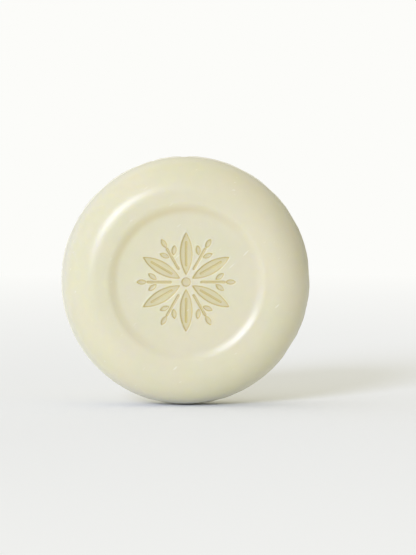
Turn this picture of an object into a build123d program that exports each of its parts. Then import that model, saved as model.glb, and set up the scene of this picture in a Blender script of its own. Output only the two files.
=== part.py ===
from build123d import *
import math
import os

# A pressed puck of hard shaving soap, standing on its rim.
# +Y is the puck's own axis, the decorated face looks along -Y, and +Z is up.
# The origin is under the centre of the puck, on the surface that the rim stands on.
# All sizes are in millimetres.

# The pressed body: both faces come from dies of the same shape.
puck_diameter = 72.0
puck_thickness = 25.0
rim_land_width = 3.6       # straight band round the rim, where the two dies meet
crest_diameter = 48.5      # middle of the ring on which a face stands highest
crest_flat_width = 2.1     # narrow flat along that ring, on which the puck lies
crest_inner_radius = 4.5   # rounding from the crest down into the dish
dish_depth = 0.65          # crest to dish floor
dish_foot_radius = 6.4     # wide curve at the foot of that slope

# The rosette pressed into the front dish. Its drawing is scaled as one to the dish floor.
rosette_margin = 5.46      # plain floor left round the rosette
rosette_drawn_radius = 14.0
petal_count = 6
petal_width = 3.3
petal_depth = 0.4
vein_width = 0.4           # groove along the middle of each petal's floor
vein_depth = 0.55          # from the dish floor, as the other depths are
vein_tip_gap = 2.6         # petal floor left beyond each end of the vein
hub_diameter = 2.4
hub_depth = 0.4
hub_gap = 1.0              # plain floor between the hub and the petals
spoke_hub_gap = 3.2        # plain floor between the hub and the spokes
spoke_width = 0.45
spoke_depth = 0.25
seed_length = 2.6
seed_width = 1.1
seed_depth = 0.3
seed_gap = 0.5             # plain floor between a spoke and the seed beyond it
side_seed_angle = 38.0     # lean of the small seeds away from their spoke
side_seed_offset = 1.55    # from the spoke's line to the middle of a side seed

# What follows from them.
puck_radius = puck_diameter / 2
half_thickness = puck_thickness / 2
crest_inner_edge = (crest_diameter - crest_flat_width) / 2
crest_outer_edge = (crest_diameter + crest_flat_width) / 2
floor_height = half_thickness - dish_depth
slope_radii = crest_inner_radius + dish_foot_radius
slope_angle = math.acos(1 - dish_depth / slope_radii)
floor_radius = crest_inner_edge - slope_radii * math.sin(slope_angle)
rosette_scale = (floor_radius - rosette_margin) / rosette_drawn_radius
hub_radius = hub_diameter / 2
petal_inner_tip = hub_radius + hub_gap
petal_length = rosette_drawn_radius - petal_inner_tip


def half_profile():
    # One face's outline from the axis outwards: dish floor, foot, slope, crest, shoulder and rim.
    slope_degrees = math.degrees(slope_angle)
    floor = Line((0, floor_height), (floor_radius, floor_height))
    foot = CenterArc(
        (floor_radius, floor_height + dish_foot_radius), dish_foot_radius, -90, slope_degrees
    )
    slope = CenterArc(
        (crest_inner_edge, half_thickness - crest_inner_radius), crest_inner_radius, 90, slope_degrees
    )
    crest = Line((crest_inner_edge, half_thickness), (crest_outer_edge, half_thickness))
    shoulder = EllipticalCenterArc(
        (crest_outer_edge, rim_land_width / 2),
        puck_radius - crest_outer_edge,
        half_thickness - rim_land_width / 2,
        start_angle=0,
        arc_size=90,
    )
    rim = Line((puck_radius, rim_land_width / 2), (puck_radius, 0))
    axis = Line((0, floor_height), (0, 0))
    return Curve() + [axis, floor, foot, slope, crest, shoulder, rim]


def body():
    # The section is drawn as radius against distance along the axis, then turned about that axis.
    upper = half_profile()
    section = make_face(upper.edges() + mirror(upper, about=Plane.XZ).edges())
    return Pos(0, 0, puck_radius) * revolve(section, Axis.Y)


def lens(length, width):
    # A pointed oval along +X, centred on the origin: two equal arcs from tip to tip.
    tip = length / 2
    crown = width / 2
    upper = ThreePointArc((-tip, 0), (0, crown), (tip, 0))
    lower = ThreePointArc((-tip, 0), (0, -crown), (tip, 0))
    return make_face(upper.edges() + lower.edges())


def hub():
    return [Circle(hub_radius)]


def along_petals():
    # Directions along the petals.
    return PolarLocations(0, petal_count, start_angle=90)


def petals():
    petal = Pos(petal_inner_tip + petal_length / 2, 0) * lens(petal_length, petal_width)
    return [spot * petal for spot in along_petals()]


def veins():
    vein = Pos(petal_inner_tip + petal_length / 2, 0) * SlotOverall(petal_length - 2 * vein_tip_gap, vein_width)
    return [spot * vein for spot in along_petals()]


def between_petals():
    # Directions halfway between the petals.
    return PolarLocations(0, petal_count, start_angle=90 + 180 / petal_count)


def spokes():
    start = hub_radius + spoke_hub_gap
    end = rosette_drawn_radius - seed_length - seed_gap
    spoke = Pos((start + end) / 2, 0) * SlotOverall(end - start, spoke_width)
    return [spot * spoke for spot in between_petals()]


def seeds():
    # One seed beyond the end of each spoke, and one leaning out on each side of it.
    seed = lens(seed_length, seed_width)
    end_place = rosette_drawn_radius - seed_length / 2
    side_place = end_place - seed_length - seed_gap
    marks = [Pos(end_place, 0) * seed]
    for side in (-1, 1):
        marks.append(Pos(side_place, side * side_seed_offset) * Rot(0, 0, side * side_seed_angle) * seed)
    return [spot * mark for spot in between_petals() for mark in marks]


def pockets(marks, depth):
    # Each drawn mark becomes a shallow flat-bottomed pocket in the front dish's floor.
    front_floor = Plane(origin=(0, -floor_height, puck_radius), x_dir=(1, 0, 0), z_dir=(0, -1, 0))
    return [extrude(front_floor * scale(mark, rosette_scale), amount=-depth) for mark in marks]


def rosette():
    return (
        pockets(hub(), hub_depth)
        + pockets(petals(), petal_depth)
        + pockets(veins(), vein_depth)
        + pockets(spokes(), spoke_depth)
        + pockets(seeds(), seed_depth)
    )


def soap_puck():
    return body() - rosette()


os.makedirs("parts", exist_ok=True)
puck = soap_puck()
puck.label = "soap_puck"
export_step(puck, "parts/soap_puck.step")
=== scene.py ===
import bpy
import math
import random
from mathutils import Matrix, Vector


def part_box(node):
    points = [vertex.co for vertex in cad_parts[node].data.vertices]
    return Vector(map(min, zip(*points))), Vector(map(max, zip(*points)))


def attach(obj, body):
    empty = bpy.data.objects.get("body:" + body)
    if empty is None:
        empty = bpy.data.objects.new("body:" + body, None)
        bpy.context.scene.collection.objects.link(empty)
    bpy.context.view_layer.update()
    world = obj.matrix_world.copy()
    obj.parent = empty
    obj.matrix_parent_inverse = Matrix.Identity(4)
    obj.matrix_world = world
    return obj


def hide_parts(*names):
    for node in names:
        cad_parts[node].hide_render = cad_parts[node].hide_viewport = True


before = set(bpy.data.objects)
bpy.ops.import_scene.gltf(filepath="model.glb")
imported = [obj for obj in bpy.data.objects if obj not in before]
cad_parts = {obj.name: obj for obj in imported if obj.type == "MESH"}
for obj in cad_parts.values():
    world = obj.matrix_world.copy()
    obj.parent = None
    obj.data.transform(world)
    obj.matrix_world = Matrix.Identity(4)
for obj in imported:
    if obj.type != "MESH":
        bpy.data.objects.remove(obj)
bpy.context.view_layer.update()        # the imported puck, as a fixed frame
mm = 0.001
low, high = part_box("soap_puck")
middle = (low + high) / 2


# small helpers; lengths in the dictionaries below are in millimetres

def linear(hexColour):
    # sRGB hex to the linear colour that the shader works in
    parts = [int(hexColour[i:i + 2], 16) / 255 for i in (1, 3, 5)]
    return [c / 12.92 if c <= 0.04045 else ((c + 0.055) / 1.055) ** 2.4 for c in parts] + [1]


def editMode(obj):
    bpy.ops.object.select_all(action="DESELECT")
    obj.select_set(True)
    bpy.context.view_layer.objects.active = obj
    bpy.ops.object.mode_set(mode="EDIT")
    bpy.ops.mesh.select_mode(type="VERT")


def objectMode():
    bpy.ops.object.mode_set(mode="OBJECT")


def selectPoints(obj, wanted):
    # selects the points that a test on their place picks, and leaves the piece in edit mode
    bpy.ops.mesh.select_all(action="DESELECT")
    objectMode()
    for point in obj.data.vertices:
        point.select = wanted(point.co)
    editMode(obj)


def applyModifier(obj, name, kind, **settings):
    modifier = obj.modifiers.new(name, kind)
    for key, value in settings.items():
        setattr(modifier, key, value)
    bpy.ops.object.select_all(action="DESELECT")
    obj.select_set(True)
    bpy.context.view_layer.objects.active = obj
    bpy.ops.object.modifier_apply(modifier=modifier.name)


# the puck's section, from the dish floor over the crest and round the rim

puck = {
    "crestDiameter": 48.5,     # middle of the ring that stands highest
    "crestFlat": 2.1,
    "slopeRadius": 4.5,        # crest down into the dish
    "footRadius": 6.4,         # wide curve at the foot of that slope
    "dishDepth": 0.65,
    "landWidth": 3.6,          # band where the two dies meet
    "finHeight": 0.32,         # thin fin squeezed out between the dies
    "finBase": 0.7,
    "finTip": 0.2,
    "stepsRound": 240,
    "shoulderSteps": 30,
    "slopeSteps": 10,
    "footSteps": 4,
    "weld": 0.01,              # points this close are one point
    "smoothBelow": 38,         # degrees between faces that shade as one surface
}


def arc(centre, radii, start, end, steps):
    # points along an arc or a quarter ellipse, the first one left out
    found = []
    for i in range(1, steps + 1):
        a = math.radians(start + (end - start) * i / steps)
        found.append((centre[0] + radii[0] * math.cos(a), centre[1] + radii[1] * math.sin(a)))
    return found


def halfSection():
    # distance from the puck's axis against height over its middle plane, for one face
    outer = (high.x - low.x) / 2 / mm
    half = (high.y - low.y) / 2 / mm
    landRadius = outer - puck["finHeight"]
    crestInner = (puck["crestDiameter"] - puck["crestFlat"]) / 2
    crestOuter = (puck["crestDiameter"] + puck["crestFlat"]) / 2
    floorHeight = half - puck["dishDepth"]
    both = puck["slopeRadius"] + puck["footRadius"]
    slope = math.acos(1 - puck["dishDepth"] / both)
    floorRadius = crestInner - both * math.sin(slope)
    landHalf = puck["landWidth"] / 2
    tilt = math.degrees(slope)
    points = [(floorRadius, floorHeight)]
    points += arc((floorRadius, floorHeight + puck["footRadius"]), [puck["footRadius"]] * 2,
                  -90, tilt - 90, puck["footSteps"])
    points += arc((crestInner, half - puck["slopeRadius"]), [puck["slopeRadius"]] * 2,
                  90 + tilt, 90, puck["slopeSteps"])
    points.append(((crestInner + crestOuter) / 2, half))
    points.append((crestOuter, half))
    points += arc((crestOuter, landHalf), (landRadius - crestOuter, half - landHalf),
                  90, 0, puck["shoulderSteps"])
    points.append((landRadius, (landHalf + puck["finBase"] / 2) / 2))
    points.append((landRadius, puck["finBase"] / 2))
    points.append((outer, puck["finTip"] / 2))
    return points, floorRadius, floorHeight


outline, floorRadius, floorHeight = halfSection()
section = [(r, -h) for r, h in outline] + [(r, h) for r, h in reversed(outline)]


def placeOf(r, h):
    return Vector((r * mm, h * mm, middle.z))


def turnedBody():
    # one point drawn out along the section, then spun round the puck's axis
    bpy.ops.object.select_all(action="DESELECT")
    bpy.ops.mesh.primitive_plane_add(size=mm, location=placeOf(*section[0]))
    body = bpy.context.object
    bpy.ops.object.transform_apply(location=True, rotation=True, scale=True)
    editMode(body)
    bpy.ops.mesh.select_all(action="SELECT")
    bpy.ops.mesh.merge(type="CENTER")
    for here, there in zip(section, section[1:]):
        step = placeOf(*there) - placeOf(*here)
        bpy.ops.mesh.extrude_region_move(TRANSFORM_OT_translate={"value": step})
    bpy.ops.mesh.select_all(action="SELECT")
    bpy.ops.mesh.spin(steps=puck["stepsRound"], angle=math.tau, center=(0, 0, middle.z), axis=(0, 1, 0))
    bpy.ops.mesh.select_all(action="SELECT")
    bpy.ops.mesh.remove_doubles(threshold=puck["weld"] * mm)
    objectMode()
    return body


def fromAxis(place):
    # distance from the puck's axis, in millimetres
    return math.hypot(place.x, place.z - middle.z) / mm


def closeDishes(body):
    # both dish floors are filled with a square grid, fine enough at the front to take the rosette
    for side in (-1, 1):
        editMode(body)
        selectPoints(body, lambda p: fromAxis(p) < floorRadius + puck["weld"] and p.y * side > 0)
        bpy.ops.mesh.fill_grid(span=puck["stepsRound"] // 4)
        objectMode()


# the rosette pressed into the front dish: petals, a hub, and a fine spoke with seeds between petals

rosette = {
    "radius": 14.0,
    "petals": 6,
    "petalWidth": 3.3,
    "petalDepth": 0.42,
    "veinWidth": 0.4,
    "veinDepth": 0.58,         # groove along the middle of a petal's floor
    "veinTipGap": 2.6,
    "hubRadius": 1.2,
    "hubGap": 1.0,
    "spokeGap": 3.2,           # from the hub to the spoke
    "spokeWidth": 0.45,
    "spokeDepth": 0.3,
    "seedLength": 2.6,
    "seedWidth": 1.1,
    "seedDepth": 0.34,
    "seedGap": 0.5,
    "seedLean": 38,            # degrees
    "seedOffset": 1.55,
    "softEdge": 0.36,          # a mark's wall slopes over this width, as soap lets go of a die
    "lipHeight": 0.07,         # soap squeezed up beside a mark
    "lipAt": 0.45,
    "lipWidth": 0.34,
    "gridMargin": 1.2,         # fine grid round the rosette
    "gridCuts": 3,
}


def lensDistance(x, y, length, width):
    # distance outside a pointed oval that lies along x, negative inside it
    tip, crown = length / 2, width / 2
    radius = (tip * tip + crown * crown) / (2 * crown)
    rise = radius - crown
    return max(math.hypot(x, y + rise), math.hypot(x, y - rise)) - radius


def slotDistance(x, y, start, end, width):
    along = min(max(x, start), end)
    return math.hypot(x - along, y) - width / 2


def marksNear(place):
    # distance to each mark, and its depth: sectors repeat, so the point is turned into one half sector
    r = fromAxis(place)
    sector = math.tau / rosette["petals"]
    angle = math.atan2(place.x, place.z - middle.z)
    angle = abs((angle + sector / 2) % sector - sector / 2)
    innerTip = rosette["hubRadius"] + rosette["hubGap"]
    petalLength = rosette["radius"] - innerTip
    x, y = r * math.cos(angle), r * math.sin(angle)
    petal = lensDistance(x - innerTip - petalLength / 2, y, petalLength, rosette["petalWidth"])
    vein = slotDistance(x, y, innerTip + rosette["veinTipGap"], rosette["radius"] - rosette["veinTipGap"],
                        rosette["veinWidth"])
    beside = sector / 2 - angle
    x, y = r * math.cos(beside), r * math.sin(beside)
    spokeEnd = rosette["radius"] - rosette["seedLength"] - rosette["seedGap"]
    spoke = slotDistance(x, y, rosette["hubRadius"] + rosette["spokeGap"], spokeEnd, rosette["spokeWidth"])
    endSeed = lensDistance(x - rosette["radius"] + rosette["seedLength"] / 2, y,
                           rosette["seedLength"], rosette["seedWidth"])
    lean = math.radians(rosette["seedLean"])
    x, y = x - spokeEnd + rosette["seedLength"] / 2, y - rosette["seedOffset"]
    sideSeed = lensDistance(x * math.cos(lean) + y * math.sin(lean), y * math.cos(lean) - x * math.sin(lean),
                            rosette["seedLength"], rosette["seedWidth"])
    return [
        (r - rosette["hubRadius"], rosette["petalDepth"]),
        (petal, rosette["petalDepth"]),
        (vein, rosette["veinDepth"]),
        (spoke, rosette["spokeDepth"]),
        (endSeed, rosette["seedDepth"]),
        (sideSeed, rosette["seedDepth"]),
    ]


def pressAt(place):
    # how deep the die went here, how much of that is a mark's wall, and the lip squeezed up beside it
    deepest, wall, nearest = 0, 0, math.inf
    for distance, depth in marksNear(place):
        inside = min(max(0.5 - distance / rosette["softEdge"], 0), 1)
        deepest = max(deepest, depth * inside * inside * (3 - 2 * inside))
        wall = max(wall, 1 - abs(2 * inside - 1))
        nearest = min(nearest, distance)
    lip = max(0, 1 - abs(nearest - rosette["lipAt"]) / rosette["lipWidth"])
    return deepest / rosette["veinDepth"], wall, lip * lip * (3 - 2 * lip)


def onFrontFloor(place, reach):
    return abs(place.y + floorHeight * mm) < puck["weld"] * mm and fromAxis(place) < reach


# where the painted shade along the dish's crease lies and how strong it is, and where the rim's band lies
toning = {
    "creaseShift": 1.15,       # from the edge of the dish floor to the middle of its crease
    "creaseUp": 1.2,           # how far it fades up the slope, and in over the floor
    "creaseIn": 1.0,
    "creaseShadeMost": 0.31,
    "shadedSideTurn": 128,         # where the painted shade is strongest, on the side whose slope faces away from the softbox, in degrees up from the right
    "rimFrom": 33.6,           # distances from the axis between which the rim's dry band begins
    "rimTo": 35.7,
}


def creaseShadeShare(place):
    # painted shade along the foot of the dish's slope, fading up the slope, and strongest on the side whose
    # slope faces away from the softbox
    away = fromAxis(place) - floorRadius - toning["creaseShift"]
    away /= toning["creaseUp"] if away > 0 else toning["creaseIn"]
    turn = math.atan2(place.z - middle.z, place.x) - math.radians(toning["shadedSideTurn"])
    return toning["creaseShadeMost"] * (0.5 + math.cos(turn) / 2) ** 2 * math.exp(-away * away)


def rimShare(place):
    # 1 on the outermost band, where the dies meet and the soap was trimmed
    share = (fromAxis(place) - toning["rimFrom"]) / (toning["rimTo"] - toning["rimFrom"])
    return min(max(share, 0), 1)


def paint(body, name, shares):
    body.data.attributes.new(name, "FLOAT", "POINT").data.foreach_set("value", shares)


def pressRosette(body):
    # the die's marks are worked out on a fine grid and pressed in by weight, and so are their lips
    editMode(body)
    reach = rosette["radius"] + rosette["gridMargin"]
    selectPoints(body, lambda p: onFrontFloor(p, reach))
    bpy.ops.mesh.subdivide(number_cuts=rosette["gridCuts"])
    objectMode()
    places = [point.co.copy() for point in body.data.vertices]
    pressing = [pressAt(place) if onFrontFloor(place, reach) else (0, 0, 0) for place in places]
    # how deep each point lies in a mark, which also sets how much painted shade the material puts there
    paint(body, "pressed", [depth for depth, wall, lip in pressing])
    # painted shade in the marks' walls and along the dish's crease
    paint(body, "creaseShade", [max(wall, creaseShadeShare(place))
                           for (depth, wall, lip), place in zip(pressing, places)])
    paint(body, "rim", [rimShare(place) for place in places])
    for name, part, strength in (("marks", 0, rosette["veinDepth"]), ("lips", 2, -rosette["lipHeight"])):
        group = body.vertex_groups.new(name=name)
        for index, shares in enumerate(pressing):
            if shares[part] > 0:
                group.add([index], shares[part], "REPLACE")
        applyModifier(body, name, "DISPLACE", direction="Y", mid_level=0, strength=strength * mm,
                      vertex_group=name)


# what trimming, handling and drying did to the pressed puck

wear = {
    "seed": 11,
    "knifeCuts": 17,           # flats where the fin was pared off round the rim
    "cutDepth": (0.02, 0.26),
    "cutScatter": 0.3,         # share of their spacing
    "nicks": 9,
    "nickDepth": 0.26,
    "nickShare": (0.4, 1),
    "nickWidth": 1.1,          # degrees
    "raggedness": 0.05,
    "finFrom": 0.1,            # what stands this far over the band is fin
    "finLeast": 0.02,          # what a cut always leaves of it
    "uncutFoot": 9,            # degrees either side of the bottom, where the puck stands
    "swellSize": 21,           # gentle unevenness of the faces
    "swellDepth": 0.16,
    "rippleSize": 4.5,
    "rippleDepth": 0.025,
}


def trimFin(body):
    # the fin is pared by short straight cuts that leave it uneven, with a few nicks
    outer = (high.x - low.x) / 2 / mm
    land = outer - puck["finHeight"]
    rng = random.Random(wear["seed"])
    spacing = math.tau / wear["knifeCuts"]
    cuts = [((i + rng.uniform(-wear["cutScatter"], wear["cutScatter"])) * spacing,
             rng.uniform(*wear["cutDepth"])) for i in range(wear["knifeCuts"])]
    nicks = [(rng.uniform(0, math.tau), rng.uniform(*wear["nickShare"])) for _ in range(wear["nicks"])]
    ragged = [rng.uniform(0, 1) for _ in range(puck["stepsRound"])]
    for point in body.data.vertices:
        r = fromAxis(point.co)
        if r < land + wear["finFrom"]:
            continue
        angle = math.atan2(point.co.x, point.co.z - middle.z)
        step = round(angle / math.tau * puck["stepsRound"]) % puck["stepsRound"]
        reach = outer - wear["raggedness"] * ragged[step]
        for cut, depth in cuts:
            away = math.remainder(angle - cut, math.tau)
            if abs(away) < spacing:
                reach = min(reach, (outer - depth) / math.cos(away))
        for nick, share in nicks:
            away = abs(math.remainder(angle - nick, math.tau)) / math.radians(wear["nickWidth"])
            reach -= wear["nickDepth"] * share * math.exp(-away * away)
        standing = abs(math.remainder(angle - math.pi, math.tau)) < math.radians(wear["uncutFoot"])
        reach = outer if standing else max(reach, land + wear["finLeast"])
        point.co.x *= reach / r
        point.co.z = middle.z + (point.co.z - middle.z) * reach / r


def uneven(body):
    for name, size, depth in (("swell", wear["swellSize"], wear["swellDepth"]),
                              ("ripple", wear["rippleSize"], wear["rippleDepth"])):
        clouds = bpy.data.textures.new(name, "CLOUDS")
        clouds.noise_scale = size * mm
        clouds.noise_depth = 1
        applyModifier(body, name, "DISPLACE", texture=clouds, texture_coords="LOCAL",
                      mid_level=1, strength=depth * mm)   # only ever inwards


def finishShape(body):
    editMode(body)
    bpy.ops.mesh.select_all(action="SELECT")
    bpy.ops.mesh.normals_make_consistent(inside=False)
    objectMode()
    bpy.ops.object.shade_smooth_by_angle(angle=math.radians(puck["smoothBelow"]))


body = turnedBody()
closeDishes(body)
pressRosette(body)
uneven(body)
trimFin(body)
finishShape(body)
body.name = "pressed_puck"
body.data.name = "pressed_puck"
print("puck shaped:", len(body.data.vertices), "points,", len(body.data.polygons), "faces")


# materials

def addNode(tree, kind, inputs=None, **settings):
    # adds a node, sets it up, and links or fills the inputs that are named
    node = tree.nodes.new(kind)
    for key, value in settings.items():
        setattr(node, key, value)
    for key, value in (inputs or {}).items():
        if isinstance(value, bpy.types.NodeSocket):
            tree.links.new(value, node.inputs[key])
        else:
            node.inputs[key].default_value = value
    return node


def newMaterial(name):
    material = bpy.data.materials.new(name)
    material.use_nodes = True
    material.node_tree.nodes.clear()
    return material, material.node_tree


soap = {
    "cream": "#E2DBBA",
    "greenish": "#E0DBB8",     # patches where the milled ribbons differ
    "patchSize": 14,
    "patchSpread": (0.4, 0.6),
    "mottleSize": 4,
    "mottleSpread": (0.2, 0.8),
    "mottleShade": 0.975,
    "pressedShadeTint": "#D2C588",  # painted shade: darker and yellower in the marks, the more the deeper they go
    "pressedShadeShare": 0.6,
    # painted shade in the marks' walls and along the dish's crease
    "creaseShadeTint": "#C8B055",
    "creaseShadeShare": 0.9,
    "rimPaleAndSheenTint": "#E9E7D6",      # dried paler along the trimmed edge, and a painted sheen that lightens the whole edge
    "rimShare": 0.5,
    "scuffTint": "#F4F2E4",    # short pale rubs from handling
    "scuffShare": 0.5,
    "scuffSize": (0.8, 0.8, 4),
    "scuffLean": (0, 50, 0),   # degrees
    "scuffSpread": (0.73, 0.82),
    "roughness": (0.29, 0.34),
    "scuffRoughness": 0.55,
    "rimRoughness": 0.45,
    "grainSize": 0.7,
    "grainHeight": 0.012,
    "chafeSize": 0.9,          # roughness of the trimmed rim
    "chafeHeight": 0.12,
    "ior": 1.45,
    "translucency": 0.5,
    "scatterDepth": 4.5,
    "scatterColour": (1.0, 0.85, 0.3),
}


def pressedSoap():
    # milled hard soap struck between polished dies: close and waxy, a soft clear gloss over a cream
    # that light sinks into a little, faintly patchy, with short pale rubs and a rough, dry rim
    material, tree = newMaterial("pressed_milled_soap")
    place = addNode(tree, "ShaderNodeTexCoord").outputs["Object"]
    pressed = addNode(tree, "ShaderNodeAttribute", attribute_name="pressed").outputs["Fac"]
    creaseShade = addNode(tree, "ShaderNodeAttribute", attribute_name="creaseShade").outputs["Fac"]
    rim = addNode(tree, "ShaderNodeAttribute", attribute_name="rim").outputs["Fac"]

    # cream with greener patches, and a finer mottle from the milling
    patches = addNode(tree, "ShaderNodeTexNoise", {
        "Vector": place, "Scale": 1 / (soap["patchSize"] * mm), "Detail": 2}).outputs["Fac"]
    patchShare = addNode(tree, "ShaderNodeMapRange", {
        "Value": patches, "From Min": soap["patchSpread"][0], "From Max": soap["patchSpread"][1]})
    colour = addNode(tree, "ShaderNodeMix", {
        "Factor": patchShare.outputs["Result"], "A": linear(soap["cream"]), "B": linear(soap["greenish"])},
        data_type="RGBA").outputs["Result"]
    mottle = addNode(tree, "ShaderNodeTexNoise", {
        "Vector": place, "Scale": 1 / (soap["mottleSize"] * mm), "Detail": 4}).outputs["Fac"]
    shade = addNode(tree, "ShaderNodeMapRange", {
        "Value": mottle, "From Min": soap["mottleSpread"][0], "From Max": soap["mottleSpread"][1],
        "To Min": soap["mottleShade"], "To Max": 1})
    colour = addNode(tree, "ShaderNodeVectorMath", {0: colour, "Scale": shade.outputs["Result"]},
                     operation="SCALE").outputs["Vector"]

    # painted shade: yellower and darker over the marks' floors, deepest in their walls and along the dish's
    # crease; paler along the rim, as dried soap and as a painted sheen; paler in the rubs
    leaning = addNode(tree, "ShaderNodeMapping", {
        "Vector": place, "Rotation": [math.radians(part) for part in soap["scuffLean"]],
        "Scale": [size * mm for size in soap["scuffSize"]]}, vector_type="TEXTURE").outputs["Vector"]
    streaks = addNode(tree, "ShaderNodeTexNoise", {"Vector": leaning, "Scale": 1, "Detail": 1}).outputs["Fac"]
    scuffed = addNode(tree, "ShaderNodeMapRange", {
        "Value": streaks, "From Min": soap["scuffSpread"][0],
        "From Max": soap["scuffSpread"][1]}).outputs["Result"]
    for where, share, tint in ((pressed, "pressedShadeShare", "pressedShadeTint"),
                               (creaseShade, "creaseShadeShare", "creaseShadeTint"),
                               (rim, "rimShare", "rimPaleAndSheenTint"),
                               (scuffed, "scuffShare", "scuffTint")):
        part = addNode(tree, "ShaderNodeMath", {0: where, 1: soap[share]}, operation="MULTIPLY")
        colour = addNode(tree, "ShaderNodeMix", {
            "Factor": part.outputs["Value"], "A": colour, "B": linear(soap[tint])},
            data_type="RGBA").outputs["Result"]

    # the gloss varies with the mottle, and is lost in the rubs and on the rim
    gloss = addNode(tree, "ShaderNodeMapRange", {
        "Value": mottle, "From Min": soap["mottleSpread"][0], "From Max": soap["mottleSpread"][1],
        "To Min": soap["roughness"][0], "To Max": soap["roughness"][1]}).outputs["Result"]
    gloss = addNode(tree, "ShaderNodeMix", {
        "Factor": scuffed, "A": gloss, "B": soap["scuffRoughness"]}).outputs["Result"]
    gloss = addNode(tree, "ShaderNodeMix", {
        "Factor": rim, "A": gloss, "B": soap["rimRoughness"]}).outputs["Result"]

    # a fine grain everywhere, and a coarser chafe that grows towards the rim
    grainNoise = addNode(tree, "ShaderNodeTexNoise", {
        "Vector": place, "Scale": 1 / (soap["grainSize"] * mm), "Detail": 3}).outputs["Fac"]
    grain = addNode(tree, "ShaderNodeBump", {"Height": grainNoise, "Distance": soap["grainHeight"] * mm})
    chafeNoise = addNode(tree, "ShaderNodeTexNoise", {
        "Vector": place, "Scale": 1 / (soap["chafeSize"] * mm), "Detail": 2}).outputs["Fac"]
    chafe = addNode(tree, "ShaderNodeMath", {0: chafeNoise, 1: rim}, operation="MULTIPLY")
    rough = addNode(tree, "ShaderNodeBump", {
        "Height": chafe.outputs["Value"], "Normal": grain.outputs["Normal"],
        "Distance": soap["chafeHeight"] * mm})

    # the dry rim lets no light in
    inside = addNode(tree, "ShaderNodeMapRange", {
        "Value": rim, "To Min": soap["translucency"], "To Max": 0}).outputs["Result"]
    shader = addNode(tree, "ShaderNodeBsdfPrincipled", {
        "Base Color": colour,
        "Roughness": gloss,
        "IOR": soap["ior"],
        "Normal": rough.outputs["Normal"],
        "Subsurface Weight": inside,
        "Subsurface Radius": soap["scatterColour"],
        "Subsurface Scale": soap["scatterDepth"] * mm,
    }, subsurface_method="RANDOM_WALK")
    addNode(tree, "ShaderNodeOutputMaterial", {"Surface": shader.outputs["BSDF"]})
    return material


body.data.materials.clear()
body.data.materials.append(pressedSoap())
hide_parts("soap_puck")
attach(body, "root")
print("soap material made")


# the plain pale floor, the light and the camera

studio = {
    "floor": "#F9FBFF",
    "far": "#FCFCF9",
    "fadeTo": 900,             # the floor turns into the backdrop over this distance
    "floorRadius": 6000,
    "floorSides": 96,
    "roomFade": 2,             # power by which a side of the room fades round its edges
    "room": {                  # where each side of the white room lies, its brightness and its tint
        "left": ((-1, 0, 0), 0.84, "#DAE2FF"),
        "right": ((1, 0, 0), 0.03, "#F5E3A6"),
        "front": ((0, -1, 0), 0.13, "#DAE2FF"),
        "behind": ((0, 1, 0), 0.6, "#FFFAE6"),
        "above": ((0, 0, 1), 1.04, "#FFFADF"),
    },
    "turn": 23,                # degrees that the softbox stands to the left of the view
    "height": 19,              # and above it
    "softbox": {               # its strength, its width in degrees and its colour
        "key_light": (2.2, 17, "#DCE2FF"),
    },
}


def paleFloor():
    bpy.ops.object.select_all(action="DESELECT")
    bpy.ops.mesh.primitive_circle_add(vertices=studio["floorSides"], radius=studio["floorRadius"] * mm,
                                      fill_type="NGON")
    floor = bpy.context.object
    floor.name = "stage_floor"
    material, tree = newMaterial("pale_matt_floor")
    place = addNode(tree, "ShaderNodeTexCoord").outputs["Object"]
    away = addNode(tree, "ShaderNodeVectorMath", {0: place}, operation="LENGTH")
    fade = addNode(tree, "ShaderNodeMapRange", {
        "Value": away.outputs["Value"], "From Max": studio["fadeTo"] * mm})
    near = addNode(tree, "ShaderNodeBsdfDiffuse", {"Color": linear(studio["floor"])})
    far = addNode(tree, "ShaderNodeEmission", {"Color": linear(studio["far"])})
    both = addNode(tree, "ShaderNodeMixShader", {
        "Fac": fade.outputs["Result"], 1: near.outputs["BSDF"], 2: far.outputs["Emission"]})
    addNode(tree, "ShaderNodeOutputMaterial", {"Surface": both.outputs["Shader"]})
    floor.data.materials.append(material)


def softRoom(tree):
    # each side of the room glows most straight ahead of it, and the sides blend into one another
    toward = addNode(tree, "ShaderNodeTexCoord").outputs["Generated"]
    total = (0, 0, 0)
    for side, level, tint in studio["room"].values():
        facing = addNode(tree, "ShaderNodeVectorMath", {0: toward, 1: side}, operation="DOT_PRODUCT")
        ahead = addNode(tree, "ShaderNodeMath", {0: facing.outputs["Value"], 1: 0}, operation="MAXIMUM")
        share = addNode(tree, "ShaderNodeMath", {0: ahead.outputs["Value"], 1: studio["roomFade"]},
                        operation="POWER")
        colour = [level * part for part in linear(tint)[:3]]
        light = addNode(tree, "ShaderNodeVectorMath", {0: colour, "Scale": share.outputs["Value"]},
                        operation="SCALE")
        both = addNode(tree, "ShaderNodeVectorMath", {0: light.outputs["Vector"], 1: total})
        total = both.outputs["Vector"]
    return addNode(tree, "ShaderNodeBackground", {"Color": total}).outputs["Background"]


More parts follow.
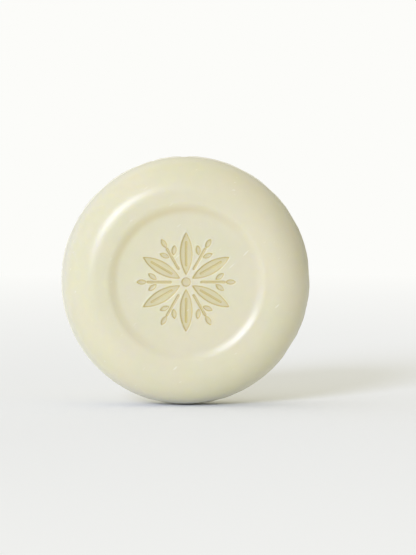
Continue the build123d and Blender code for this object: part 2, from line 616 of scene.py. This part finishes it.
def softLight():
    scene = bpy.context.scene
    scene.view_settings.view_transform = "Standard"
    world = bpy.data.worlds.new("studio")
    world.use_nodes = True
    scene.world = world
    tree = world.node_tree
    tree.nodes.clear()
    room = softRoom(tree)
    seen = addNode(tree, "ShaderNodeBackground", {"Color": linear(studio["far"])})   # a plain white backdrop
    ray = addNode(tree, "ShaderNodeLightPath")
    both = addNode(tree, "ShaderNodeMixShader", {
        "Fac": ray.outputs["Is Camera Ray"], 1: room, 2: seen.outputs["Background"]})
    addNode(tree, "ShaderNodeOutputWorld", {"Surface": both.outputs["Shader"]})
    turn, height = math.radians(studio["turn"]), math.radians(studio["height"])
    source = Vector((-math.sin(turn) * math.cos(height), -math.cos(turn) * math.cos(height),
                     math.sin(height)))
    for name, (strength, width, colour) in studio["softbox"].items():
        bpy.ops.object.light_add(type="SUN", location=source)
        light = bpy.context.object
        light.name = name
        light.data.energy = strength
        light.data.angle = math.radians(width)
        light.data.color = linear(colour)[:3]
        light.rotation_mode = "QUATERNION"
        light.rotation_quaternion = source.to_track_quat("Z", "Y")


view = {
    "azimuth": -1.0,
    "elevation": 2.5,
    "distance": 900,
    "acrossFrame": 120.4,      # what the frame's width covers at the puck, in millimetres
    "frame": (416, 555),
    "sensor": 36,
    "shift": (0.0406, 0.005),
}


def placeCamera():
    azimuth, elevation = math.radians(view["azimuth"]), math.radians(view["elevation"])
    back = Vector((math.sin(azimuth) * math.cos(elevation), -math.cos(azimuth) * math.cos(elevation),
                   math.sin(elevation)))
    bpy.ops.object.camera_add(location=middle + back * view["distance"] * mm)
    camera = bpy.context.object
    camera.rotation_mode = "QUATERNION"
    camera.rotation_quaternion = back.to_track_quat("Z", "Y")
    across, tall = view["frame"]
    camera.data.sensor_width = view["sensor"]
    camera.data.lens = view["sensor"] * view["distance"] / (view["acrossFrame"] * tall / across)
    camera.data.shift_x, camera.data.shift_y = view["shift"]
    bpy.context.scene.camera = camera


paleFloor()
softLight()
placeCamera()
print("floor, light and camera set")
